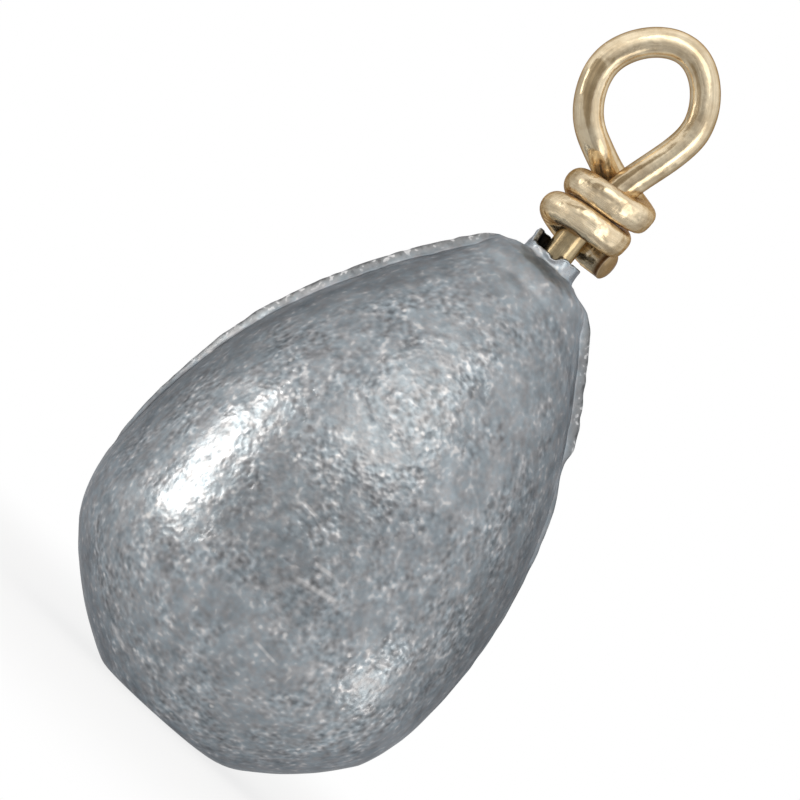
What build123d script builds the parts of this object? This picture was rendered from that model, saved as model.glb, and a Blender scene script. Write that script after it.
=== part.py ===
from build123d import *
import math
import os

# A cast lead fishing sinker of about three ounces with a brass swivel eye at its top.
# Millimetres. The origin is the centre of the flat base and +Z points to the eye.
# The parting plane of the casting is the XZ plane, and the eye lies in it, leaning to -X.

# Lead body
base_diameter = 8.1
flank_diameter = 19.4
flank_height = 5.0
flank_bulge = 0.45
belly_diameter = 21.9
belly_foot = 9.0
belly_band = 1.8
shoulder_diameter = 7.3
shoulder_drop = 1.2
land_diameter = 4.3
land_drop = 0.12
body_height = 31.5
collar_diameter = 3.3
collar_rise = 1.05
collar_foot_round = 0.3
collar_dip_radius = 1.6
collar_dip_depth = 0.45

# Casting flash along the parting plane, measured out from the round body
flash_thickness = 0.45
flash_start = 6.0
flash_root = 1.2
flash_at_belly = 0.16
flash_at_shoulder = 0.38
flash_at_land = 0.16

# Wire of both eyes
wire_diameter = 1.6
wrap_gap = 0.46
loop_width = 7.7
loop_lean = 2.07
loop_rise = 3.4
loop_crown = 3.45
lean_start = 0.4
tail_clearance = 0.2
anchor_neck = 0.5
head_diameter = 2.9
head_thickness = 1.1
head_round = 0.25

# Swivel barrel
barrel_diameter = 4.6
barrel_length = 7.6
barrel_wall = 0.5
barrel_lip = 0.8
barrel_end_round = 0.7
barrel_cover = 1.3
end_float = 0.15
running_clearance = 0.05
collar_clearance = 0.32
cast_gap = 0.02

# Winding, as plain counts and angles
full_turn = 360
quarter_turn = 90
wrap_quarters = 9
sample_share = 0.1

wire_radius = wire_diameter / 2
wrap_radius = wire_diameter + wrap_gap
wrap_pitch = wire_diameter + wrap_gap
collar_top = body_height + collar_rise
barrel_top = body_height - barrel_cover
barrel_bottom = barrel_top - barrel_length
upper_bearing = barrel_top - barrel_lip - end_float
lower_bearing = barrel_bottom + barrel_lip + end_float


def upper_outline(belly_extra, shoulder_extra, land_extra):
    """Outline from the belly up to the top of the axis, as (radius, height)."""
    belly_low = (belly_diameter / 2 + belly_extra, belly_foot)
    belly_high = (belly_diameter / 2 + belly_extra, belly_foot + belly_band)
    shoulder = (shoulder_diameter / 2 + shoulder_extra, body_height - shoulder_drop)
    land = (land_diameter / 2 + land_extra, body_height - land_drop)
    collar_side = collar_diameter / 2 + land_extra
    foot = (collar_side + collar_foot_round, body_height)
    foot_top = (collar_side, body_height + collar_foot_round)
    rim = (collar_side, collar_top)
    upper_side = TangentArc(belly_high, shoulder, tangent=(0, 1))
    return [
        Line(belly_low, belly_high),
        upper_side,
        TangentArc(shoulder, land, tangent=upper_side % 1),
        Line(land, foot),
        TangentArc(foot, foot_top, tangent=(-1, 0)),
        Line(foot_top, rim),
        Line(rim, (0, collar_top)),
    ]


def body_outline():
    """Closed half outline of the round body."""
    base = (base_diameter / 2, 0)
    flank = (flank_diameter / 2, flank_height)
    belly_low = (belly_diameter / 2, belly_foot)
    lower = [
        Line((0, 0), base),
        SagittaArc(base, flank, -flank_bulge),
        TangentArc(belly_low, flank, tangent=(0, -1)),
    ]
    return lower + upper_outline(0, 0, 0) + [Line((0, collar_top), (0, 0))]


def flash_outline():
    """Closed half outline of the flash, which comes out of the body just below the belly."""
    root = (belly_diameter / 2 - flash_root, flash_start)
    lower = [
        Line((0, flash_start), root),
        Line(root, (belly_diameter / 2 + flash_at_belly, belly_foot)),
    ]
    upper = upper_outline(flash_at_belly, flash_at_shoulder, flash_at_land)
    return lower + upper + [Line((0, collar_top), (0, flash_start))]


def solid_casting():
    """Round body with the flash plate in its parting plane, before the swivel is cut out."""
    round_face = Plane.XZ * make_face(body_outline())
    flash_face = Plane.XZ * make_face(flash_outline())
    half_flash = extrude(flash_face, amount=flash_thickness / 2, both=True)
    casting = revolve(round_face, Axis.Z) + half_flash + mirror(half_flash, about=Plane.YZ)
    # The rim of the collar is high at the parting plane and dips at the front and the back.
    dip_height = collar_top - collar_dip_depth + collar_dip_radius
    dip = Pos(0, 0, dip_height) * Rot(quarter_turn, 0, 0) * Cylinder(collar_dip_radius, belly_diameter)
    return casting - dip


def biarc(start, start_way, end, end_way):
    """Two arcs that leave start along start_way and reach end along end_way."""
    chord = end - start
    ways = start_way + end_way
    turn = 2 * (1 - start_way.dot(end_way))
    along = chord.dot(ways)
    reach = (math.sqrt(along**2 + turn * chord.dot(chord)) - along) / turn
    first = start + start_way * reach
    second = end - end_way * reach
    middle = (first + second) * 0.5
    middle_way = (second - first).normalized()
    return [
        Edge.make_tangent_arc(start, start_way, middle),
        Edge.make_tangent_arc(middle, middle_way, end),
    ]


def side_step(start, end, way):
    """Two equal arcs that leave start and reach end in the same direction."""
    middle = (start + end) * 0.5
    first = Edge.make_tangent_arc(start, way, middle)
    return [first, Edge.make_tangent_arc(middle, first % 1, end)]


def wrap_point(crossing_height, quarters):
    """Centre of the wound wire and its direction, some quarter turns after the crossing at the back."""
    angle = math.radians(quarter_turn - quarter_turn * quarters)
    height = crossing_height - wrap_pitch * quarters * quarter_turn / full_turn
    slope = wrap_pitch / (2 * math.pi)
    point = Vector(wrap_radius * math.cos(angle), wrap_radius * math.sin(angle), height)
    way = Vector(wrap_radius * math.sin(angle), -wrap_radius * math.cos(angle), -slope)
    return point, way.normalized()


def eye_path(reach):
    """Centre line of an eye: stem, leaning loop, crossing behind the stem and the wound tail.

    Height zero is the bearing face of the head, and reach is the height of the tail's underside.
    """
    crossing = reach + wire_radius + wrap_pitch * wrap_quarters * quarter_turn / full_turn
    loop_height = crossing + loop_rise
    half_width = (loop_width - wire_diameter) / 2
    up = Vector(0, 0, 1)
    left = Vector(-1, 0, 0)
    stem_foot = Vector(0, 0, -head_thickness)
    stem_top = Vector(0, 0, crossing + lean_start)
    right_side = Vector(half_width - loop_lean, 0, loop_height)
    crown = Vector(-loop_lean, 0, loop_height + loop_crown)
    left_side = Vector(-half_width - loop_lean, 0, loop_height)
    edges = [Edge.make_line(stem_foot, stem_top)]
    edges += side_step(stem_top, right_side, up)
    edges += biarc(right_side, up, crown, left)
    edges += biarc(crown, left, left_side, -up)
    last_point = left_side
    last_way = -up
    for quarters in range(wrap_quarters + 1):
        point, way = wrap_point(crossing, quarters)
        edges += biarc(last_point, last_way, point, way)
        last_point = point
        last_way = way
    return Wire(edges)


def tube(path, radius):
    """Round wire of one radius along a centre line that starts straight up."""
    section = Plane(origin=path @ 0, z_dir=path % 0) * Circle(radius)
    return sweep(section, path=path)


def headed_eye(path):
    """Wire along an eye's centre line with the head upset on its foot."""
    head = Pos(0, 0, -head_thickness / 2) * Cylinder(head_diameter / 2, head_thickness)
    head = fillet(head.edges().filter_by(GeomType.CIRCLE), head_round)
    return tube(path, wire_radius) + head


def least_self_gap(path):
    """Least clear distance of the wire to itself, on points along its centre line."""
    count = round(path.length / (wire_diameter * sample_share))
    points = [path @ (step / count) for step in range(count + 1)]
    skip = round(count * math.pi * wrap_radius / path.length)
    least = min(
        (points[far] - points[near]).length
        for near in range(count + 1)
        for far in range(near + skip, count + 1)
    )
    return least - wire_diameter


def barrel_envelope(allowance):
    """Outside of the barrel as a plain solid with rounded ends, grown by an allowance."""
    height = barrel_length + 2 * allowance
    body = Cylinder(barrel_diameter / 2 + allowance, height)
    body = fillet(body.edges().filter_by(GeomType.CIRCLE), barrel_end_round)
    return Pos(0, 0, (barrel_top + barrel_bottom) / 2) * body


def swivel_barrel():
    """Hollow barrel with a running hole for a stem through each end lip."""
    middle = Pos(0, 0, (barrel_top + barrel_bottom) / 2)
    chamber = Cylinder(barrel_diameter / 2 - barrel_wall, barrel_length - 2 * barrel_lip)
    holes = Cylinder(wire_radius + running_clearance, 2 * barrel_length)
    return barrel_envelope(0) - middle * chamber - middle * holes


upper_path = eye_path(collar_top + tail_clearance - upper_bearing)
lower_path = eye_path(barrel_lip + end_float + anchor_neck)
lower_place = Pos(0, 0, lower_bearing) * Rot(2 * quarter_turn, 0, 0)

eye_wire = Pos(0, 0, upper_bearing) * headed_eye(upper_path)
anchor_wire = lower_place * headed_eye(lower_path)
barrel = swivel_barrel()

stem_bore_height = collar_top - barrel_top + barrel_lip
stem_bore_middle = collar_top - stem_bore_height / 2
stem_bore = Pos(0, 0, stem_bore_middle) * Cylinder(wire_radius + collar_clearance, stem_bore_height)
anchor_seat = lower_place * tube(lower_path, wire_radius + cast_gap)
lead_body = solid_casting() - stem_bore - barrel_envelope(cast_gap) - anchor_seat

print("least gap of the eye wire to itself, mm:", round(least_self_gap(upper_path), 3))
print("least gap of the anchor wire to itself, mm:", round(least_self_gap(lower_path), 3))

os.makedirs("parts", exist_ok=True)
export_step(lead_body, "parts/lead_body.step")
export_step(barrel, "parts/swivel_barrel.step")
export_step(eye_wire, "parts/eye_wire.step")
export_step(anchor_wire, "parts/anchor_wire.step")
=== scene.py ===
import math
import random

import bpy
import numpy as np
from mathutils import Euler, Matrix, Vector, kdtree, noise


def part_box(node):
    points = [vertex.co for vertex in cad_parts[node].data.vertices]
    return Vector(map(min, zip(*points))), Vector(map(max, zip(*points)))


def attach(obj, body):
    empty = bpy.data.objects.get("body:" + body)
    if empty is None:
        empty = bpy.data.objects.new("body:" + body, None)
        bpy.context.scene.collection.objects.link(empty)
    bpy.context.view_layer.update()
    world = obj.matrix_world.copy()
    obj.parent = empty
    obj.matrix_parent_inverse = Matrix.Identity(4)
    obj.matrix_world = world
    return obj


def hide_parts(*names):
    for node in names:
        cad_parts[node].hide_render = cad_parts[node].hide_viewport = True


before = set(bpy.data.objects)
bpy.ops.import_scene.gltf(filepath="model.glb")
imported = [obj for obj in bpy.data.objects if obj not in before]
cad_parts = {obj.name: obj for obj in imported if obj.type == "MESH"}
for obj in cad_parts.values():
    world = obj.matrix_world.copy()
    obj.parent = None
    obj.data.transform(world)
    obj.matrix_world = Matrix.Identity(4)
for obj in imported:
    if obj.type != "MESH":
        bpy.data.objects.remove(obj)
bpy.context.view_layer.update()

# Sizes are in millimetres unless a name says otherwise, and go to metres when a mesh is made.
MM = 0.001
_, lead_high = (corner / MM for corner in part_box("lead_body"))
barrel_low, barrel_high = (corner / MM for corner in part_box("swivel_barrel"))
eye_low, eye_high = (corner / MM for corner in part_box("eye_wire"))

# Lead body: outline of the round casting, with its left and right sides cast a little unlike
belly_foot = 9.0
belly_band = 1.8
right_belly_extra = 0.17
body_height = 31.5
shoulder_drop = 1.2
land_radius = 2.15
land_drop = 0.12
cast_gap = 0.02
left_side = {
    "base": 3.65, "edge_round": 0.35, "flank": 9.75, "flank_height": 5.0, "bulge": 0.42,
    "belly": lead_high.y, "shoulder": 3.73, "foot_round": 0.1,
}
right_side = {
    "base": 4.75, "edge_round": 1.2, "flank": 10.2, "flank_height": 5.0, "bulge": 0.29,
    "belly": lead_high.y + right_belly_extra, "shoulder": 3.65, "foot_round": 0.33,
}
inset_heights = (10.8, 15.0, 20.0, 24.0, 28.0, 30.0, 30.9, 31.3)
insets = (0, 0.1, 0.2, 0.37, 0.4, 0.3, -0.04, 0)

# Collar round the stem: a tall thin wall at the left, low at the front, with a nick beside the stem
collar_radius = 1.6
collar_bore = 1.25
collar_shift = -0.2
collar_shift_reach = 0.4
shift_above_barrel = 0.2
collar_lip_round = 0.1
collar_rim_low = 31.95
collar_rim_foot = 0.02
collar_rim_angles = (0, 50, 105, 130, 186, 204, 266, 284, 360)
collar_rim_heights = (32.42, 32.4, 32.6, 32.75, 32.75, 32.0, 32.0, 32.36, 32.42)
collar_nick_angle = math.radians(277)
collar_nick_width = 0.16
collar_nick_depth = 0.22
# Waves of the rim, as height, count in a turn and phase
collar_rim_waves = ((0.02, 9, 0), (0.015, 17, 1))
collar_rough_below = 0.4
collar_rough_above = 0.1

# Rings of points along each stretch of the outline
base_rings = 14
edge_rings = 7
flank_rings = 49
under_belly_rings = 29
belly_rings = 12
upper_side_rings = 140
shoulder_rings = 13
land_rings = 4
collar_foot_rings = 5
collar_wall_rings = 4
lip_rings = 3
bore_rings = 6
seat_top_rings = 2
seat_side_rings = 6
seat_floor_rings = 3

# Points round each ring: at these distances from the parting plane, less in small rings, and then evenly
flash_offsets = (0, 0.05, 0.09, 0.12, 0.15, 0.18, 0.21, 0.24, 0.27, 0.3, 0.34, 0.39, 0.46, 0.54, 0.62)
columns_per_quarter = 65
squeezed_radius = 1.2
least_ring_radius = 0.3

# Unevenness of the cast skin, as height, scale of the noise and seed
skin_swells = ((0.06, 0.2, 1), (0.025, 0.6, 2), (0.006, 1.5, 3))
collar_rough = (0.07, 1.9, 6)
even_base_height = 0.4
even_top_reach = 0.3
even_top_share = 0.7

# Flash along the parting plane: its height at the belly and above, and the step in its right side
flash_half_thickness = 0.1
flash_blend = 0.5
flash_foot = 7.5
flash_at_belly = 0.2
flash_at_top = 0.52
flash_full_height = 22.0
flash_step_height = 25.0
flash_step_below = 0.7
flash_step_above = 0.2
flash_step_share = 0.45
flash_notch_height = 23.8
flash_notch_reach = 0.9
flash_notch_share = 0.6
flash_end_drop = 1.6
bead_stretch = (1, 0.3, 1)
bead_scale = 1.3
bead_seed = 8
bead_waver = 0.04
bead_swell = 0.13
# Where the top edge of the flash gets painted shade
brink_heights = (0.05, 0.3)
brink_shares = (0.7, 0.95)

# Small dents from handling, scattered over the casting
dent_seed = 11
dent_count = 220
dent_sizes = (0.25, 0.75)
dent_depths = (0.015, 0.05)

# Larger dents on the front, as x, z, radius and depth
front_dents = (
    (-9.3, 4.3, 1.2, 0.4),
    (3.6, 17.2, 0.5, 0.07), (3.1, 16.6, 0.4, 0.06), (4.3, 16.8, 0.5, 0.07), (4.0, 17.6, 0.4, 0.06),
    (1.7, 24.3, 0.35, 0.06), (-2.1, 21.1, 0.35, 0.06), (0.1, 10.9, 0.4, 0.08), (0.9, 9.3, 0.3, 0.06),
    (-4.2, 7.6, 0.4, 0.07), (-2.9, 5.2, 0.35, 0.06), (-1.5, 19.2, 0.35, 0.06), (5.4, 12.6, 0.4, 0.06),
)

# A dent of this radius or more gets no painted shade
broad_dent = 1.0

# Scratches on the front, as (x, z) of both ends and half a width
scratches = (
    ((0.6, 10.45), (3.7, 11.05), 0.2),
    ((1.1, 11.75), (2.6, 11.88), 0.16),
    ((-1.5, 13.72), (-0.2, 13.58), 0.14),
    ((1.5, 6.7), (3.3, 6.5), 0.12),
    ((-4.7, 2.2), (-3.0, 1.5), 0.15),
)
scratch_full_length = 0.6
scratch_full_width = 0.3

# Middle and reach of the smoother skin at the left of the front, with heights halved
calm_middle = (-6.7, -8.6, 6.3)
calm_stretch = (1, 1, 0.5)
calm_reach = (1.5, 4.0)

# Places on the casting that its colour and gloss follow
base_shade_heights = (0.5, 4.5)
# Depths and heights of the painted light beside the upper flash
beside_flash_depths = (0.9, 2.6)
beside_flash_heights = (17.0, 23.0)
raised_shares = (0.2, 0.75)
dull_top_drops = (3.5, 0.5)
glossy_collar_rise = 0.3

# Eye wire, wound tight
wire_radius = 0.83
wrap_radius = 1.75
wrap_heights = (37.2, 36.7, 36.15, 35.9, 35.42, 34.85, 34.52, 34.1, 33.68)
quarters_in_turn = 4
stem_start = 0.6
# Points on the loop's centre line and its directions there, from the top of the stem to the crossing
loop_stations = (
    ((0, 0, 36.4), (0, 0, 1)),
    ((0.38, 0, 38.6), (0.26, 0, 1)),
    ((0.97, 0, 41.7), (0, 0, 1)),
    ((-2.07, 0, eye_high.z - wire_radius), (-1, 0, 0)),
    ((-5.1, 0, 41.6), (0, 0, -1)),
    ((-2.85, 0.25, 38.15), (1, 0.25, -0.42)),
    ((0, wrap_radius, wrap_heights[0]), (1, 0, -0.2)),
)
tail_start_way = (1, 0, -0.08)
tail_end = (2.44, 1.2, 33.64)
tail_way = (0.93, -0.36, 0)
lean_heights = (30.8, 34.0, 37.0)
lean_shifts = (0, -0.21, 0)
wire_step = 0.09
wire_sides = 40
smoothed_steps = 27
# Unevenness of the wire, as height, scale of the noise and seed
wire_swell = (0.012, 0.7, 21)

# Where the wire counts as wound, and how its turns are pressed on each other
wound_reach = (0.8, 1.4)
wound_above = 0.1
wound_below = 0.4
press_power = 2.9
press_most = 0.12
press_end_steps = 18
press_least_reach = 0.1
press_left_reach = (0.2, 1.4)
press_left_share = 0.8

# Cut end of the tail as (share of the radius, rise), the dark band painted behind it, and the painted shade
# on the cut face
end_dome = ((0.95, 0.05), (0.82, 0.12), (0.45, 0.17))
dark_band_back = 0.12
dark_band_width = 0.22
cut_face_shade = 0.4

# Head upset on the foot of the stem, as (radius, height) from a level one rounding below its top
head_height = 1.1
head_round = 0.25
head_profile = (
    (0.8, 0.25), (1.2, 0.2), (1.42, 0.0), (1.45, -0.25), (1.45, -0.7), (1.3, -0.85), (0.6, -0.87),
)

# Crevices between the turns, and the length of wire from its foot that is painted darker
crevice_search = 0.45
crevice_gap = 0.16
crevice_above = 0.2
crevice_below = 0.5
darker_stem_lengths = (5.0, 7.0)

# Studio: the floor is partly white to the camera near the object, and all white farther off
floor_size = 2000
near_white = 0.8
near_reach = 20
far_reach = 80
surrounding_light = 0.6
lamp_colour = (1, 0.945, 0.87)
card_distance = 260
card_columns = 13
ring_card_columns = 48
eye_card_place = -5

# Camera, with its frame and aim in pixels of the photograph
mm_per_px = 0.0532
picture_px = 800
aim_across_px = -22.5
aim_up_px = 393.5
roll_degrees = 42
lens_length = 300
sensor_width = 36
clip_near = 10
clip_far = 10000

# Small numbers that keep divisions and comparisons safe
tiny = 1e-9
height_margin = 1e-6


def smooth(low, high, value):
    """0 up to low, 1 from high on and a soft ramp between them; low may be the larger one."""
    t = np.clip((np.asarray(value, float) - low) / (high - low), 0, 1)
    return t * t * (3 - 2 * t)


def line_points(start, end, count):
    """Points from start up to, but not including, end."""
    share = np.arange(count)[:, None] / count
    return np.asarray(start) * (1 - share) + np.asarray(end) * share


def arc_points(start, way, end, count):
    """Points on the arc that leaves start along way and reaches end, which isn't included."""
    start, way, end = (np.asarray(v, float) for v in (start, way, end))
    way = way / np.linalg.norm(way)
    side = np.array([-way[1], way[0]])
    chord = end - start
    radius = chord @ chord / (2 * (chord @ side))
    centre = start + side * radius
    turn = 2 * math.atan2(chord @ side, chord @ way)
    angle = turn * np.arange(count)[:, None] / count
    arm = start - centre
    return centre + arm * np.cos(angle) + np.array([-arm[1], arm[0]]) * np.sin(angle)


def arc_end_way(start, way, end):
    """Direction in which that arc reaches end."""
    chord = np.asarray(end, float) - np.asarray(start, float)
    chord_angle = math.atan2(chord[1], chord[0])
    angle = 2 * chord_angle - math.atan2(way[1], way[0])
    return np.array([math.cos(angle), math.sin(angle)])


def bulge_way(start, end, bulge):
    """Direction in which an arc with that bulge to its right leaves start."""
    chord = np.asarray(end, float) - np.asarray(start, float)
    half = np.linalg.norm(chord) / 2
    angle = math.atan2(chord[1], chord[0]) - 2 * math.atan2(bulge, half)
    return np.array([math.cos(angle), math.sin(angle)])


def make_mesh(name, points, faces, smooth_shading=True):
    """New mesh object from points in millimetres."""
    mesh = bpy.data.meshes.new(name)
    mesh.from_pydata((np.asarray(points) * MM).tolist(), [], faces)
    mesh.validate()
    if smooth_shading:
        mesh.shade_smooth()
    piece = bpy.data.objects.new(name, mesh)
    bpy.context.collection.objects.link(piece)
    return piece


def add_value(piece, name, values):
    """One number on each point of a piece, for its material to read."""
    layer = piece.data.attributes.new(name, "FLOAT", "POINT")
    layer.data.foreach_set("value", np.asarray(values, np.float32))


def point_noise(points, scale, seed):
    """Smooth noise from about -1 to 1 at points in millimetres."""
    shift = Vector((seed * 7.3, seed * 3.1, seed * 5.7))
    return np.array([noise.noise(Vector(p) * scale + shift) for p in points])


def point_tree(points):
    """Search tree that finds the points near a place."""
    tree = kdtree.KDTree(len(points))
    for index, point in enumerate(points):
        tree.insert(point, index)
    tree.balance()
    return tree


def outer_outline(side):
    """Outline of one side from the axis at the base to the foot of the collar's lip."""
    base = (side["base"] - side["edge_round"], 0)
    flank = (side["flank"], side["flank_height"])
    belly_low = (side["belly"], belly_foot)
    belly_high = (side["belly"], belly_foot + belly_band)
    shoulder = (side["shoulder"], body_height - shoulder_drop)
    land = (land_radius, body_height - land_drop)
    foot = (collar_radius + side["foot_round"], body_height)
    foot_top = (collar_radius, body_height + side["foot_round"])
    rim_outer = (collar_radius, collar_rim_low - collar_lip_round)
    flank_way = bulge_way((side["base"], 0), flank, side["bulge"])
    edge_top = np.array([side["base"], 0]) + flank_way * side["edge_round"]
    belly_way = -arc_end_way(belly_low, (0, -1), flank)
    side_way = arc_end_way(belly_high, (0, 1), shoulder)
    return [
        line_points((0, 0), base, base_rings),
        arc_points(base, (1, 0), edge_top, edge_rings),
        arc_points(edge_top, flank_way, flank, flank_rings),
        arc_points(flank, belly_way, belly_low, under_belly_rings),
        line_points(belly_low, belly_high, belly_rings),
        arc_points(belly_high, (0, 1), shoulder, upper_side_rings),
        arc_points(shoulder, side_way, land, shoulder_rings),
        line_points(land, foot, land_rings),
        arc_points(foot, (-1, 0), foot_top, collar_foot_rings),
        line_points(foot_top, rim_outer, collar_wall_rings),
    ]


def inner_outline():
    """Outline from the collar's lip down its bore to the axis inside the barrel's seat."""
    rim_outer = (collar_radius, collar_rim_low - collar_lip_round)
    rim_top = (collar_radius - collar_lip_round, collar_rim_low)
    rim_inner_top = (collar_bore + collar_lip_round, collar_rim_low)
    rim_inner = (collar_bore, collar_rim_low - collar_lip_round)
    seat_top = barrel_high.z + cast_gap
    seat_bottom = barrel_low.z - cast_gap
    seat_radius = barrel_high.x + cast_gap
    return [
        arc_points(rim_outer, (0, 1), rim_top, lip_rings),
        line_points(rim_top, rim_inner_top, lip_rings),
        arc_points(rim_inner_top, (-1, 0), rim_inner, lip_rings),
        line_points(rim_inner, (collar_bore, seat_top), bore_rings),
        line_points((collar_bore, seat_top), (seat_radius, seat_top), seat_top_rings),
        line_points((seat_radius, seat_top), (seat_radius, seat_bottom), seat_side_rings),
        line_points((seat_radius, seat_bottom), (0, seat_bottom), seat_floor_rings),
        np.array([(0, seat_bottom)]),
    ]


def lead_outline(side):
    """Outline of one side from the axis at the base to the axis inside the barrel's seat."""
    return np.concatenate(outer_outline(side) + inner_outline())


def column_angles(radius):
    """Angles round one ring, close together at the parting plane on both sides."""
    squeeze = min(1, radius / squeezed_radius)
    near = [math.asin(offset * squeeze / max(radius, least_ring_radius)) for offset in flash_offsets]
    far = np.linspace(near[-1], math.pi / 2, columns_per_quarter + 1)[1:]
    quarter = np.array(near + list(far))
    half = np.concatenate([quarter, math.pi - quarter[-2::-1]])
    return np.concatenate([half, 2 * math.pi - half[-2:0:-1]])


def collar_rim(angles):
    """How far the collar's rim stands above its lowest height at some angles."""
    rim = np.interp(np.degrees(angles), collar_rim_angles, collar_rim_heights) - collar_rim_low
    for height, waves, phase in collar_rim_waves:
        rim = rim + height * np.sin(waves * angles + phase)
    from_nick = (angles - collar_nick_angle) / collar_nick_width
    return rim - collar_nick_depth * np.exp(-(from_nick**2))


def skin_swell(points):
    """Slow unevenness of the cast skin."""
    swell = np.zeros(len(points))
    for height, scale, seed in skin_swells:
        swell += height * point_noise(points, scale, seed)
    return swell


def dent_places(base, shown):
    """Number of the middle point, radius and depth of each dent."""
    dice = random.Random(dent_seed)
    shown_index = np.flatnonzero(shown)
    dents = []
    for _ in range(dent_count):
        middle = int(shown_index[dice.randrange(len(shown_index))])
        size = dice.uniform(*dent_sizes)
        depth = dice.uniform(*dent_depths)
        dents.append((middle, size, depth))
    front = shown_index[base[shown_index, 1] < 0]
    for x, z, size, depth in front_dents:
        nearest = np.argmin((base[front, 0] - x) ** 2 + (base[front, 2] - z) ** 2)
        dents.append((int(front[nearest]), size, depth))
    return dents


def pressed_dents(base, shown):
    """Depth of the dents at each point, and how much painted shade they put on it."""
    tree = point_tree(base)
    pit = np.zeros(len(base))
    stain_and_dent_shade = np.zeros(len(base))
    for middle, size, depth in dent_places(base, shown):
        for _, index, distance in tree.find_range(base[middle], size):
            fall = (1 - (distance / size) ** 2) ** 2
            pit[index] = max(pit[index], depth * fall)
            if size < broad_dent:
                stain_and_dent_shade[index] = max(stain_and_dent_shade[index], fall)
    pit[~shown] = 0
    return pit, stain_and_dent_shade


def flash_height(height, right):
    """How far the flash stands out of the round body at some heights, right or left of the axis."""
    run = flash_at_belly * smooth(flash_foot, belly_foot + belly_band, height)
    run = run + (flash_at_top - flash_at_belly) * smooth(belly_foot, flash_full_height, height)
    step = smooth(flash_step_height - flash_step_below, flash_step_height + flash_step_above, height)
    from_notch = (height - flash_notch_height) / flash_notch_reach
    notch = 1 - flash_notch_share * np.exp(-(from_notch**2))
    run = np.where(right, run * (flash_step_share * notch + (1 - flash_step_share) * step), run)
    return run * (1 - smooth(body_height - flash_end_drop, body_height - land_drop, height))


def flash_ridge(base, shown):
    """Height of the flash, a thin uneven ridge, at each point, and how near the point is to its top."""
    bead = np.zeros(len(base))
    bead[shown] = point_noise(base[shown] * np.array(bead_stretch), bead_scale, bead_seed)
    across = np.abs(base[:, 1]) + bead_waver * bead
    ridge = smooth(flash_half_thickness + flash_blend, flash_half_thickness, across)
    flash = flash_height(base[:, 2], base[:, 0] > 0) * ridge * (1 + bead_swell * bead)
    flash[~shown] = 0
    return flash, ridge


def body_inset(height):
    """How much thinner the round body is under the tall flash, so that the outline stays."""
    return np.interp(height, inset_heights, insets)


def ring_faces(rows, columns):
    """Faces between rings of points, and to a middle point after the last ring at each end."""
    faces = []
    for row in range(rows - 1):
        low, high = row * columns, (row + 1) * columns
        for column in range(columns):
            after = (column + 1) % columns
            faces.append((low + column, low + after, high + after, high + column))
    foot, top = rows * columns, rows * columns + 1
    last_row = (rows - 1) * columns
    for column in range(columns):
        after = (column + 1) % columns
        faces.append((foot, after, column))
        faces.append((last_row + column, last_row + after, top))
    return faces


def lead_rings():
    """The middle outline, and the angle, radius and height of every point of the plain casting."""
    left = lead_outline(left_side)
    right = lead_outline(right_side)
    middle = (left + right) / 2
    angles = np.array([column_angles(r) for r in middle[:, 0]])
    share = ((1 + np.cos(angles)) / 2)[:, :, None]
    profile = left[:, None, :] * (1 - share) + right[:, None, :] * share
    lift_share = smooth(body_height + collar_rim_foot, collar_rim_low - collar_lip_round, middle[:, 1])
    height = profile[:, :, 1] + lift_share[:, None] * collar_rim(angles)
    return middle, angles, profile[:, :, 0], height


def skin_push(base, level, shown, pit, flash):
    """How far each point goes out: unevenness, less at both ends, dents, flash and the rough collar."""
    columns = len(base) // len(level)
    swell = np.zeros(len(base))
    swell[shown] = skin_swell(base[shown])
    even_base = np.repeat(smooth(0, even_base_height, level), columns)
    at_top = smooth(body_height - even_top_reach, body_height + even_top_reach, level)
    skin = (swell - pit) * even_base * np.repeat(1 - even_top_share * at_top, columns)
    rough_height, rough_scale, rough_seed = collar_rough
    at_collar = smooth(body_height - collar_rough_below, body_height + collar_rough_above, base[:, 2])
    rough_cast = rough_height * at_collar * shown * point_noise(base, rough_scale, rough_seed)
    return skin + (flash + rough_cast - body_inset(base[:, 2]) * shown)


def make_lead():
    """The lead casting, ring by ring from the middle of its base to the floor of the barrel's seat."""
    middle, angles, radius, height = lead_rings()
    level = middle[:, 1]
    rows, columns = angles.shape
    c, s = np.cos(angles), np.sin(angles)
    rim_row = np.argmax(level >= collar_rim_low - height_margin)
    shown = np.repeat(np.arange(rows) < rim_row - lip_rings, columns)
    inside = np.repeat(np.arange(rows) > rim_row + lip_rings, columns)
    base = np.stack([radius * c, radius * s, height], axis=2).reshape(-1, 3)
    pit, stain_and_dent_shade = pressed_dents(base, shown)
    flash, ridge = flash_ridge(base, shown)
    push = skin_push(base, level, shown, pit, flash).reshape(rows, columns)

    along = np.gradient(middle, axis=0)
    along /= np.maximum(np.linalg.norm(along, axis=1), tiny)[:, None]
    radius = radius + push * along[:, 1, None]
    height = height - push * along[:, 0, None]
    shift = collar_shift * smooth(body_height - collar_shift_reach, body_height, level)
    shift = np.where(level > barrel_high.z + shift_above_barrel, shift, 0)
    grid = np.stack([radius * c + shift[:, None], radius * s, height], axis=2)

    def mesh_order(values):
        """Values of the mesh's points: all rings but the first and the last, then one of each of these."""
        rings = values[1:-1].reshape(-1, *values.shape[2:])
        return np.concatenate([rings, [values[0, 0]], [values[-1, 0]]])

    piece = make_mesh("lead_casting", mesh_order(grid), ring_faces(rows - 2, columns))
    brink = smooth(*brink_heights, flash) * smooth(*brink_shares, ridge)
    shares = {"inside": inside, "pit": stain_and_dent_shade, "flash": flash / flash_at_top, "brink": brink}
    for name, values in shares.items():
        add_value(piece, name, mesh_order(values.reshape(rows, columns)))
    return piece


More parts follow.
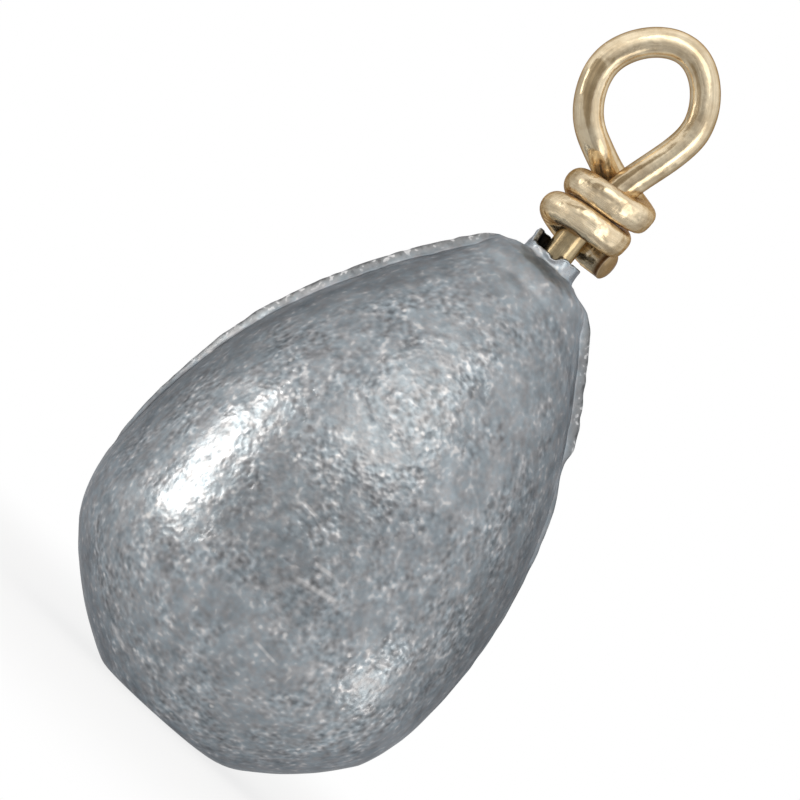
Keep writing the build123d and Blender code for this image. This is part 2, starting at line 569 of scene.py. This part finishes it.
def curve_points(stations, step):
    """Points along smooth cubic pieces through (point, direction) stations."""
    found = []
    for (p0, t0), (p1, t1) in zip(stations, stations[1:]):
        p0, t0, p1, t1 = (np.asarray(v, float) for v in (p0, t0, p1, t1))
        reach = np.linalg.norm(p1 - p0)
        t0 = t0 / np.linalg.norm(t0) * reach
        t1 = t1 / np.linalg.norm(t1) * reach
        count = max(2, round(reach / step))
        u = np.arange(count)[:, None] / count
        found.append(
            (2 * u**3 - 3 * u**2 + 1) * p0 + (u**3 - 2 * u**2 + u) * t0
            + (3 * u**2 - 2 * u**3) * p1 + (u**3 - u**2) * t1
        )
    return np.concatenate(found + [[np.asarray(stations[-1][0], float)]])


def wrap_place(turn):
    """Centre of the wound wire, some turns after the crossing at the back."""
    angle = math.pi / 2 - 2 * math.pi * turn
    height = np.interp(turn * quarters_in_turn, np.arange(len(wrap_heights)), wrap_heights)
    return np.stack([wrap_radius * np.cos(angle), wrap_radius * np.sin(angle), height], axis=1)


def eye_line():
    """Centre line of the eye's wire from its head to its cut tail."""
    stem_foot = ((0, 0, eye_low.z + stem_start), (0, 0, 1))
    loop = curve_points([stem_foot, *loop_stations], wire_step)
    turns = (len(wrap_heights) - 1) / quarters_in_turn
    count = round(turns * 2 * math.pi * wrap_radius / wire_step)
    winding = wrap_place(np.linspace(0, turns, count)[1:])
    tail_start = ((0, wrap_radius, wrap_heights[-1]), tail_start_way)
    tail = curve_points([tail_start, (tail_end, tail_way)], wire_step)
    path = np.concatenate([loop, winding, tail[1:]])
    path[:, 0] += np.interp(path[:, 2], lean_heights, lean_shifts)
    window = np.hanning(smoothed_steps) / np.hanning(smoothed_steps).sum()
    middle = [np.convolve(path[:, axis], window, mode="valid") for axis in range(3)]
    end = smoothed_steps // 2
    return np.concatenate([path[:end], np.stack(middle, axis=1), path[-end:]])


def tube_frames(path):
    """Directions along a path and two across it that turn as little as they can."""
    along = np.gradient(path, axis=0)
    along /= np.linalg.norm(along, axis=1)[:, None]
    across = np.zeros_like(path)
    across[0] = (1, 0, 0)
    for index in range(1, len(path)):
        kept = across[index - 1] - along[index] * (across[index - 1] @ along[index])
        across[index] = kept / np.linalg.norm(kept)
    return along, across, np.cross(along, across)


def wound_share(path):
    """1 where the wire is wound round the stem and 0 in the stem and the loop."""
    reach = np.linalg.norm(path[:, :2], axis=1)
    below = smooth(wrap_heights[0] + wound_above, wrap_heights[0] - wound_below, path[:, 2])
    return smooth(*wound_reach, reach) * below


def pressed_section(path, along, ring):
    """How much fuller the wire is at its corners where the turns are pressed on each other."""
    outward = path * np.array([1, 1, 0])
    reach = np.linalg.norm(outward, axis=1)
    outward = outward / np.maximum(reach, press_least_reach)[:, None]
    upward = np.cross(along, outward)
    level = np.abs(np.einsum("nsk,nk->ns", ring, outward))
    upright = np.abs(np.einsum("nsk,nk->ns", ring, upward))
    square = (level**press_power + upright**press_power + tiny) ** (-1 / press_power)
    held = smooth(0, press_end_steps, np.arange(len(path))[::-1])
    held = held * (1 - press_left_share * smooth(*press_left_reach, -path[:, 0]))
    return 1 + (wound_share(path) * held)[:, None] * np.clip(square - 1, 0, press_most)


def wire_faces(rows):
    """Faces of the wire, of the cap on its tail and of the head on its foot, in the order of its points."""
    faces = []

    def band(first, second, turned=False):
        for side in range(wire_sides):
            after = (side + 1) % wire_sides
            face = (first + side, first + after, second + after, second + side)
            faces.append(face[::-1] if turned else face)

    def close(ring, middle, turned=False):
        for side in range(wire_sides):
            face = (ring + side, ring + (side + 1) % wire_sides, middle)
            faces.append(face[::-1] if turned else face)

    cap_end = rows + len(end_dome) - 1
    for row in range(cap_end):
        band(row * wire_sides, (row + 1) * wire_sides)
    cap_middle = (cap_end + 1) * wire_sides
    close(cap_end * wire_sides, cap_middle)
    head_rings = [cap_middle + 1 + index * wire_sides for index in range(len(head_profile))]
    band(head_rings[0], 0)
    for upper, lower in zip(head_rings, head_rings[1:]):
        band(upper, lower, turned=True)
    close(head_rings[-1], head_rings[-1] + wire_sides, turned=True)
    return faces


def crevice_share(path, points):
    """How near each of the wire's points is to another stretch of it, below the crossing."""
    tree = point_tree(path)
    skip = round(math.pi * wrap_radius / wire_step)
    crevice = np.zeros(len(points))
    for index, point in enumerate(points):
        row = index // wire_sides
        found = tree.find_range(point, wire_radius + crevice_search)
        near = [distance for _, other, distance in found if abs(other - row) > skip]
        if near:
            fade = smooth(wrap_heights[0] + crevice_above, wrap_heights[0] - crevice_below, point[2])
            crevice[index] = fade * (1 - smooth(0, crevice_gap, min(near) - wire_radius))
    return crevice


def tail_cap(end, way, rim):
    """Points of the tail's end, cut square with a slightly rounded edge."""
    cap = [end + way * rise + (p - end) * share for share, rise in end_dome for p in rim]
    return cap + [end + way * end_dome[-1][1]]


def stem_head(ring):
    """Points of the head that is upset on the foot of the stem."""
    level = eye_low.z + head_height - head_round
    angles = np.arctan2(ring[:, 1], ring[:, 0])
    head = [(r * math.cos(a), r * math.sin(a), level + z) for r, z in head_profile for a in angles]
    return head + [(0, 0, level + head_profile[-1][1])]


def make_eye():
    """The eye's wire: stem with its head, leaning loop, winding and cut tail."""
    path = eye_line()
    rows = len(path)
    along, across, up = tube_frames(path)
    angle = 2 * math.pi * np.arange(wire_sides) / wire_sides
    ring = across[:, None, :] * np.cos(angle)[None, :, None] + up[:, None, :] * np.sin(angle)[None, :, None]
    pressed = pressed_section(path, along, ring)
    wire = (path[:, None, :] + ring * (wire_radius * pressed)[:, :, None]).reshape(-1, 3)
    swell_height, swell_scale, swell_seed = wire_swell
    swell = swell_height * point_noise(wire, swell_scale, swell_seed)
    wire = wire + ring.reshape(-1, 3) * swell[:, None]
    cap = tail_cap(path[-1], along[-1], wire[-wire_sides:])
    head = stem_head(ring[0])
    piece = make_mesh("eye_wire_wound", np.concatenate([wire, cap, head]), wire_faces(rows))

    length = np.concatenate([[0], np.cumsum(np.linalg.norm(np.diff(path, axis=0), axis=1))])
    from_dark_band = (length[-1] - length - dark_band_back) / dark_band_width
    shares = {
        "wound": np.repeat(wound_share(path), wire_sides),
        "cut": np.repeat(np.exp(-(from_dark_band**2)), wire_sides),
        "crevice": crevice_share(path, wire),
        "run": np.repeat(length, wire_sides),
        "spin_cos": np.tile(np.cos(angle), rows),
        "spin_sin": np.tile(np.sin(angle), rows),
    }
    for name, values in shares.items():
        # The cap's crevice value puts painted shade on the tail's cut face
        on_cap = cut_face_shade if name == "crevice" else 0
        add_value(piece, name, np.concatenate([values, np.full(len(cap), on_cap), np.zeros(len(head))]))
    return piece


class Graph:
    """Short way to write the nodes of a material or the world."""

    def __init__(self, owner):
        owner.use_nodes = True
        self.owner = owner
        self.tree = owner.node_tree

    def node(self, kind, inputs=(), **settings):
        """New node with its inputs set or linked."""
        made = self.tree.nodes.new(kind)
        for key, value in settings.items():
            setattr(made, key, value)
        for key, value in dict(inputs).items():
            self.put(made.inputs[key], value)
        return made

    def put(self, socket, value):
        if isinstance(value, bpy.types.NodeSocket):
            self.tree.links.new(value, socket)
        else:
            socket.default_value = value

    def math(self, operation, first, second=0.0):
        return self.node("ShaderNodeMath", {0: first, 1: second}, operation=operation).outputs[0]

    def ramp(self, value, stops):
        made = self.node("ShaderNodeValToRGB", {"Fac": value})
        ramp = made.color_ramp
        while len(ramp.elements) < len(stops):
            ramp.elements.new(0.5)
        for element, (place, colour) in zip(ramp.elements, stops):
            element.position = place
            element.color = (*colour, 1) if isinstance(colour, tuple) else (colour, colour, colour, 1)
        return made.outputs["Color"]

    def between(self, value, from_low, from_high, to_low, to_high, **settings):
        """A value taken from one range to another and held at its ends."""
        made = self.node("ShaderNodeMapRange", {
            "Value": value, "From Min": from_low, "From Max": from_high,
            "To Min": to_low, "To Max": to_high,
        }, **settings)
        return made.outputs["Result"]

    def mix(self, share, first, second, blend="MIX"):
        made = self.node("ShaderNodeMix", data_type="RGBA", blend_type=blend)
        self.put(made.inputs["Factor"], share)
        self.put(made.inputs[6], first)
        self.put(made.inputs[7], second)
        return made.outputs[2]

    def value(self, name):
        """A number that the mesh has on its points."""
        return self.node("ShaderNodeAttribute", attribute_name=name).outputs["Fac"]

    def millimetres(self, scale=(1, 1, 1), turn=(0, 0, 0)):
        """Place on the object in millimetres, stretched and turned for a pattern."""
        place = self.node("ShaderNodeTexCoord").outputs["Object"]
        mapping = self.node("ShaderNodeMapping", {"Vector": place})
        mapping.inputs["Scale"].default_value = [v / MM for v in scale]
        mapping.inputs["Rotation"].default_value = turn
        return mapping.outputs["Vector"]

    def noise(self, vector, scale, detail=3.0, rough=0.55):
        made = self.node("ShaderNodeTexNoise", {
            "Vector": vector, "Scale": scale, "Detail": detail, "Roughness": rough,
        })
        return made.outputs["Fac"]

    def bump(self, height, strength, distance, normal=None):
        made = self.node("ShaderNodeBump", {"Height": height, "Strength": strength, "Distance": distance})
        if normal is not None:
            self.put(made.inputs["Normal"], normal)
        return made.outputs["Normal"]

    def emission(self, strength, colour=(1, 1, 1)):
        return self.node("ShaderNodeEmission", {"Color": (*colour, 1), "Strength": strength}).outputs[0]

    def seen_as_white(self):
        """1 for what the camera sees, straight or in a reflection, and 0 for light on the object."""
        rays = self.node("ShaderNodeLightPath").outputs
        seen = self.math("MAXIMUM", rays["Is Camera Ray"], rays["Is Glossy Ray"])
        return self.math("MAXIMUM", seen, rays["Is Transmission Ray"])

    def surface(self, **values):
        """Gives the material's own shader these inputs."""
        shader = self.tree.nodes["Principled BSDF"]
        for name, value in values.items():
            self.put(shader.inputs[name.replace("_", " ")], value)
        return self.owner

    def other_surface(self, shader):
        """Puts another shader in the place of the material's own."""
        self.tree.nodes.remove(self.tree.nodes["Principled BSDF"])
        self.tree.links.new(shader, self.tree.nodes["Material Output"].inputs["Surface"])
        return self.owner


def material_graph(name):
    """Nodes of a new material."""
    return Graph(bpy.data.materials.new(name))


def scratch_lines(g, place):
    """1 on the casting's scratches and 0 beside them, seen along the Y axis on the front."""
    apart = g.node("ShaderNodeSeparateXYZ", {"Vector": place}).outputs
    found = None
    for (x0, z0), (x1, z1), width in scratches:
        run = math.hypot(x1 - x0, z1 - z0)
        way = ((x1 - x0) / run, (z1 - z0) / run)
        from_x, from_z = g.math("SUBTRACT", apart["X"], x0), g.math("SUBTRACT", apart["Z"], z0)
        along = g.math("ADD", g.math("MULTIPLY", from_x, way[0]), g.math("MULTIPLY", from_z, way[1]))
        side = g.math("SUBTRACT", g.math("MULTIPLY", from_z, way[0]), g.math("MULTIPLY", from_x, way[1]))
        past = g.math("ABSOLUTE", g.math("SUBTRACT", along, run / 2))
        ends = g.between(past, run / 2, run / 2 * scratch_full_length, 0, 1)
        line = g.between(g.math("ABSOLUTE", side), width, width * scratch_full_width, 0, 1)
        mark = g.math("MULTIPLY", line, ends)
        found = g.math("MAXIMUM", found, mark) if found else mark
    return g.math("MULTIPLY", found, g.between(apart["Y"], 0.0, -1.0, 0, 1))


def lead_patterns(g):
    """Places and patterns on the casting that its colour, gloss and relief share."""
    place = g.millimetres()
    apart = g.node("ShaderNodeSeparateXYZ", {"Vector": place}).outputs
    depth = g.math("ABSOLUTE", apart["Y"])
    busy = g.between(g.noise(place, 0.4, 3, 0.5), 0.42, 0.58, 0.3, 1.0)
    busy = g.math("MULTIPLY", busy, g.between(depth, 2.0, 5.5, 0.25, 1.0))
    fine = g.noise(place, 3.5, 0.0)
    other = g.noise(g.millimetres(turn=(0.7, 0.4, 0.2)), 2.7, 0.0)
    grain = g.math("MULTIPLY", g.math("ADD", fine, other), 0.5)
    scratched = g.math("MULTIPLY", scratch_lines(g, place), g.between(grain, 0.35, 0.55, 0.55, 1))
    return {
        "place": place, "across": apart["X"], "depth": depth, "rise": apart["Z"],
        "mottle": g.noise(place, 0.45, 5, 0.6), "clump": g.noise(place, 0.95, 1, 0.5),
        "busy": busy, "grain": grain, "scratched": scratched, "raised": g.value("flash"),
    }


def painted_light_beside_flash(g, p):
    """Painted light: how much lighter the lead's colour is made beside the upper flash, more so at the
    right.
    """
    beside = g.math(
        "MULTIPLY", g.between(p["depth"], *beside_flash_depths, 1, 0),
        g.between(p["rise"], *beside_flash_heights, 0, 1),
    )
    beside = g.math("MULTIPLY", beside, g.between(p["raised"], 0.02, 0.2, 1, 0))
    gain = g.math("MULTIPLY", beside, g.between(p["across"], -2.0, 2.0, 0.38, 0.6))
    return g.math("ADD", gain, 1.0)


def skin_colour(g, p):
    """Mottled grey of the cast skin, with its grain, painted glints and painted bright dots, painted shade
    towards the base and painted light beside the upper flash.
    """
    clump, busy, grain = p["clump"], p["busy"], p["grain"]
    colour = g.ramp(p["mottle"], [(0.3, (0.27, 0.289, 0.31)), (0.7, (0.354, 0.374, 0.396))])
    tint = g.noise(p["place"], 1.6, 3, 0.6)
    warmth = g.ramp(tint, [(0.38, (0.86, 0.96, 1.0)), (0.62, (1.0, 0.93, 0.89))])
    colour = g.mix(0.6, colour, warmth, "MULTIPLY")
    colour = g.mix(1.0, colour, g.between(clump, 0.3, 0.7, 0.85, 1.15), "MULTIPLY")
    colour = g.mix(busy, colour, g.between(grain, 0.25, 0.75, 0.55, 1.45), "MULTIPLY")
    # Painted shade: the colour is darker towards the base
    colour = g.mix(1.0, colour, g.between(p["rise"], *base_shade_heights, 0.88, 1), "MULTIPLY")
    # Painted light beside the upper flash
    colour = g.mix(1.0, colour, painted_light_beside_flash(g, p), "MULTIPLY")
    # Painted glints and painted bright dots, in clumps of the skin
    bright_part = g.between(clump, 0.45, 0.6, 0.15, 1)
    painted_glint = g.math("MULTIPLY", g.between(grain, 0.59, 0.74, 0, 0.55), bright_part)
    colour = g.mix(painted_glint, colour, (0.72, 0.69, 0.67, 1))
    cells = g.node("ShaderNodeTexVoronoi", {"Vector": p["place"], "Scale": 1.9}).outputs
    chosen = g.between(cells["Color"], 0.52, 0.72, 0, 1)
    painted_glint_dot = g.math("MULTIPLY", g.between(cells["Distance"], 0.34, 0.1, 0, 0.8), chosen)
    painted_glint_dot = g.math("MULTIPLY", painted_glint_dot, g.math("MULTIPLY", bright_part, busy))
    return g.mix(painted_glint_dot, colour, (0.82, 0.8, 0.79, 1))


def marked_colour(g, p, colour):
    """The skin's colour with painted shade in small dents, scratches, the flash with painted shade on its
    top edge, and painted shade that makes the inside of the collar dark.
    """
    # Painted shade in the small dents
    colour = g.mix(g.math("MULTIPLY", g.value("pit"), 0.3), colour, (0.1, 0.105, 0.115, 1))
    colour = g.mix(g.math("MULTIPLY", p["scratched"], 0.6), colour, (0.66, 0.65, 0.65, 1))
    # Flash colour along its beads: dark spots and painted glints
    bead = g.noise(p["place"], 2.9, 1, 0.5)
    rim = g.ramp(bead, [
        (0.33, (0.14, 0.143, 0.147)), (0.38, (0.23, 0.236, 0.242)),
        (0.6, (0.29, 0.297, 0.304)), (0.65, (0.7, 0.7, 0.71)),
    ])
    colour = g.mix(g.between(p["raised"], *raised_shares, 0, 0.8), colour, rim)
    # Painted shade on the top edge of the flash
    painted_dark_brink = g.math("MULTIPLY", g.value("brink"), g.between(bead, 0.38, 0.56, 0.5, 0.15))
    colour = g.mix(painted_dark_brink, colour, (0.07, 0.071, 0.074, 1))
    # Painted shade makes the inside of the collar nearly black
    return g.mix(g.value("inside"), colour, (0.02, 0.019, 0.018, 1))


def lead_roughness(g, p):
    """Roughness of the lead, more towards the top and on the flash and less on the collar."""
    top_low, top_high = (body_height - drop for drop in dull_top_drops)
    collar_high = body_height + glossy_collar_rise
    rough = g.between(p["mottle"], 0.3, 0.7, 0.29, 0.37)
    rough = g.math("ADD", rough, g.between(p["rise"], top_low, top_high, 0, 0.16))
    rough = g.math("SUBTRACT", rough, g.between(p["rise"], body_height, collar_high, 0, 0.22))
    return g.math("ADD", rough, g.between(p["raised"], *raised_shares, 0, 0.2))


def lead_relief(g, p):
    """Fine relief of the lead: slow swirls, dimples, grain and scratches, weaker on the smoother skin."""
    from_calm = g.node(
        "ShaderNodeVectorMath", {0: g.millimetres(calm_stretch), 1: calm_middle}, operation="DISTANCE"
    ).outputs["Value"]
    textured = g.math("MULTIPLY", p["busy"], g.between(from_calm, *calm_reach, 0.4, 1.0))
    dimple = g.node(
        "ShaderNodeTexVoronoi", {"Vector": p["place"], "Scale": 3.6, "Smoothness": 0.5}, feature="SMOOTH_F1"
    ).outputs["Distance"]
    normal = g.bump(g.noise(p["place"], 1.4, 2, 0.5), 0.35, 0.12 * MM)
    normal = g.bump(g.math("MULTIPLY", dimple, textured), 0.4, 0.07 * MM, normal)
    normal = g.bump(g.math("MULTIPLY", p["grain"], textured), 0.45, 0.1 * MM, normal)
    return g.bump(p["scratched"], 0.3, -0.03 * MM, normal)


def lead_material():
    """Dull cast lead: grey and calm in places, finely dimpled and glinting in others, with glints and
    bright dots also painted into its colour.
    """
    g = material_graph("cast_lead")
    p = lead_patterns(g)
    return g.surface(
        Base_Color=marked_colour(g, p, skin_colour(g, p)),
        Metallic=g.between(p["raised"], *raised_shares, 0.92, 0.6),
        Roughness=lead_roughness(g, p), Normal=lead_relief(g, p), Specular_Tint=(0.4, 0.41, 0.43, 1),
    )


def place_on_wire(g, lengthwise, around):
    """Place by the wire's own length and turn, so that a pattern follows the wire."""
    return g.node("ShaderNodeCombineXYZ", {
        "X": g.math("MULTIPLY", g.value("run"), lengthwise),
        "Y": g.math("MULTIPLY", g.value("spin_cos"), around),
        "Z": g.math("MULTIPLY", g.value("spin_sin"), around),
    }).outputs["Vector"]


def brass_wire_material():
    """Drawn brass with fine lines along the wire, darker brown where turns meet, a darker stem, a dark band
    behind the tail's end and painted shade on its cut face.
    """
    g = material_graph("drawn_brass")
    place = g.millimetres()
    crevice, cut, worn = g.value("crevice"), g.value("cut"), g.value("wound")
    streak = g.noise(place_on_wire(g, 0.25, 3.0), 1.6, 4, 0.6)
    band = g.noise(place_on_wire(g, 0.07, 1.0), 1.3, 1, 0.5)
    patch = g.noise(place, 0.9, 4, 0.6)
    colour = g.ramp(patch, [(0.3, (0.68, 0.535, 0.345)), (0.68, (0.95, 0.81, 0.58))])
    colour = g.mix(0.6, colour, g.ramp(streak, [(0.35, 0.72), (0.6, 1.0)]), "MULTIPLY")
    colour = g.mix(0.8, colour, g.ramp(band, [(0.4, 0.8), (0.53, 1.08)]), "MULTIPLY")
    # The stem is painted darker
    darker_stem = g.between(g.value("run"), *darker_stem_lengths, 0.8, 0)
    colour = g.mix(darker_stem, colour, (0.5, 0.46, 0.36, 1), "MULTIPLY")
    # Darker brown where turns meet
    colour = g.mix(g.math("MULTIPLY", crevice, 0.92), colour, (0.26, 0.12, 0.03, 1))
    # A dark band painted just behind the tail's cut end
    colour = g.mix(cut, colour, (0.11, 0.045, 0.012, 1))
    rough = g.between(streak, 0.3, 0.7, 0.13, 0.22)
    rub = g.math("MULTIPLY", g.noise(place, 1.9, 1, 0.5), g.between(worn, 0, 1, 0.3, 1))
    return g.surface(
        Base_Color=colour, Metallic=g.between(g.math("MAXIMUM", crevice, cut), 0, 1, 0.92, 0.2),
        Roughness=g.math("ADD", rough, g.math("MULTIPLY", worn, 0.08)),
        Normal=g.bump(rub, 0.7, 0.12 * MM, g.bump(streak, 0.25, 0.03 * MM)),
        Specular_Tint=(0.45, 0.27, 0.11, 1),
    )


def plain_brass_material():
    """Turned brass of the hidden swivel pieces, dulled by the hot lead."""
    g = material_graph("cast_in_brass")
    rings = g.noise(g.millimetres((0.3, 0.3, 9)), 1.0, 3)
    stain_and_dent_shade = g.noise(g.millimetres(), 0.8, 5, 0.65)
    return g.surface(
        Base_Color=g.ramp(stain_and_dent_shade, [(0.35, (0.3, 0.2, 0.09)), (0.65, (0.58, 0.43, 0.2))]),
        Metallic=1.0, Roughness=g.between(stain_and_dent_shade, 0, 1, 0.3, 0.6), Normal=g.bump(rings, 0.3, 0.02 * MM),
    )


def make_floor():
    """Pale floor, white to the camera away from the object, with the object's shadow near it."""
    corners = ((-1, -1, 0), (1, -1, 0), (1, 1, 0), (-1, 1, 0))
    floor = make_mesh("floor", np.array(corners) * floor_size, [(0, 1, 2, 3)], smooth_shading=False)
    g = material_graph("pale_floor")
    place = g.node("ShaderNodeTexCoord").outputs["Object"]
    reach = g.node("ShaderNodeVectorMath", {0: place}, operation="LENGTH").outputs["Value"]
    away = g.between(
        reach, near_reach * MM, far_reach * MM, near_white, 1.0, interpolation_type="SMOOTHSTEP"
    )
    pale = g.node("ShaderNodeBsdfDiffuse", {"Color": (0.86, 0.86, 0.86, 1)}).outputs[0]
    share = g.math("MULTIPLY", g.seen_as_white(), away)
    blend = g.node("ShaderNodeMixShader", {0: share, 1: pale, 2: g.emission(1.0)})
    floor.data.materials.append(g.other_surface(blend.outputs[0]))


def make_world():
    """World that is white to the camera and in reflections, and a plain level of light on the object."""
    world = bpy.data.worlds.new("studio")
    bpy.context.scene.world = world
    g = Graph(world)
    background = g.tree.nodes["Background"].inputs
    g.put(background["Color"], (1, 1, 1, 1))
    g.put(background["Strength"], g.between(g.seen_as_white(), 0, 1, surrounding_light, 1))


def lamp(name, place, target, size, power, lean=0, spread=180):
    """Soft rectangular lamp at a place in millimetres, facing a target and turned on its own axis."""
    data = bpy.data.lights.new(name, "AREA")
    data.shape = "RECTANGLE"
    data.size, data.size_y = size[0] * MM, size[1] * MM
    data.energy = power
    data.spread = math.radians(spread)
    data.color = lamp_colour
    made = bpy.data.objects.new(name, data)
    made.location = Vector(place) * MM
    facing = (Vector(target) - Vector(place)).to_track_quat("-Z", "Y")
    made.rotation_euler = (facing @ Euler((0, 0, math.radians(lean))).to_quaternion()).to_euler()
    made.visible_camera = False
    bpy.context.collection.objects.link(made)


def hang(made, material):
    """Puts a card in the studio, where it is seen only in reflections."""
    made.data.materials.append(material)
    made.visible_camera = False
    made.visible_diffuse = False
    made.visible_shadow = False
    made.visible_transmission = False


def card(name, turns, rises, shades, bend=1.0):
    """Glowing grey card, an upright arc about the object between two angles of rise and two shades: no
    lamp, a painted reflection.
    """
    angles = np.radians(np.linspace(*turns, card_columns))
    low, high = (card_distance * math.tan(math.radians(rise)) for rise in rises)
    points = [
        (card_distance * math.sin(a), -card_distance * math.cos(a), height)
        for height in (low, high)
        for a in angles
    ]
    faces = [(i, i + 1, i + 1 + card_columns, i + card_columns) for i in range(card_columns - 1)]
    g = material_graph(name)
    height = g.node("ShaderNodeSeparateXYZ", {"Vector": g.millimetres()}).outputs["Z"]
    share = g.math("POWER", g.between(height, 0, high, 0, 1), bend)
    glow = g.emission(g.between(share, 0, 1, *shades))
    hang(make_mesh(name, points, faces), g.other_surface(glow))


def low_card(name, near, far, height, shade):
    """Level glowing grey ring below the eye, seen only from above: no lamp, a painted darker reflection in
    the eye.
    """
    count = ring_card_columns
    angles = 2 * math.pi * np.arange(count) / count
    points = [(r * math.cos(a), r * math.sin(a), height) for r in (near, far) for a in angles]
    faces = [(count + i, count + (i + 1) % count, (i + 1) % count, i) for i in range(count)]
    g = material_graph(name)
    clear = g.node("ShaderNodeBsdfTransparent").outputs[0]
    under = g.node("ShaderNodeNewGeometry").outputs["Backfacing"]
    sides = g.node("ShaderNodeMixShader", {0: under, 1: g.emission(shade), 2: clear})
    hang(make_mesh(name, points, faces), g.other_surface(sides.outputs[0]))


def eye_card(name, sides, heights, shade, colour):
    """Small glowing card close in front of the eye: no lamp, a painted darker reflection on the front of
    the wire.
    """
    points = [(x, eye_card_place, z) for z in heights for x in sides]
    g = material_graph(name)
    made = make_mesh(name, points, [(0, 1, 3, 2)], smooth_shading=False)
    hang(made, g.other_surface(g.emission(shade, colour)))


def make_camera():
    """Camera level with the object, looking along +Y and rolled so that the object leans to the right."""
    data = bpy.data.cameras.new("camera")
    data.sensor_width = sensor_width
    data.lens = lens_length
    data.clip_start = clip_near * MM
    data.clip_end = clip_far * MM
    distance = picture_px * mm_per_px * lens_length / sensor_width
    camera = bpy.data.objects.new("camera", data)
    camera.location = Vector((aim_across_px * mm_per_px, -distance, aim_up_px * mm_per_px)) * MM
    camera.rotation_mode = "XYZ"
    camera.rotation_euler = Euler((math.pi / 2, -math.radians(roll_degrees), 0), "XYZ")
    bpy.context.collection.objects.link(camera)
    bpy.context.scene.camera = camera


lead = make_lead()
lead.data.materials.append(lead_material())
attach(lead, "sinker")
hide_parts("lead_body")

eye = make_eye()
eye.data.materials.append(brass_wire_material())
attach(eye, "swivel_eye")
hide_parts("eye_wire")

hidden_brass = plain_brass_material()
for node in ("swivel_barrel", "anchor_wire"):
    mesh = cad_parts[node].data
    mesh.materials.clear()
    mesh.materials.append(hidden_brass)

make_floor()
make_world()
eye_card("eye_card", sides=(-29, -2.6), heights=(36.5, 42), shade=0.3, colour=(1, 0.86, 0.66))
low_card("low_card", near=4.6, far=60, height=31, shade=0.5)
card("front_card", turns=(-56, 34), rises=(-12, 26), shades=(0.38, 1.2), bend=1.4)
card("left_back_card", turns=(-178, -112), rises=(-12, 45), shades=(0.66, 0.68))
card("right_back_card", turns=(100, 178), rises=(-12, 45), shades=(0.54, 0.9))

lamp("left_strip", place=(-60, -26, 13), target=(0, 0, 12), size=(14.5, 35), power=0.0138, lean=14)
lamp("right_low", place=(36, -11, 4.6), target=(7, -7.5, 8), size=(8, 8), power=0.00065)
lamp("eye_left", place=(-20, -4, 34.5), target=(-1, 0, 35), size=(3, 7), power=0.000045, spread=90)
lamp("eye_right", place=(12, -12, 39.5), target=(-1, 0, 41), size=(7, 14), power=0.00012, spread=90)
lamp("front_top", place=(-16, -150, 156), target=(0, 0, 22), size=(200, 96), power=0.08)

make_camera()
bpy.context.scene.view_settings.view_transform = "Standard"
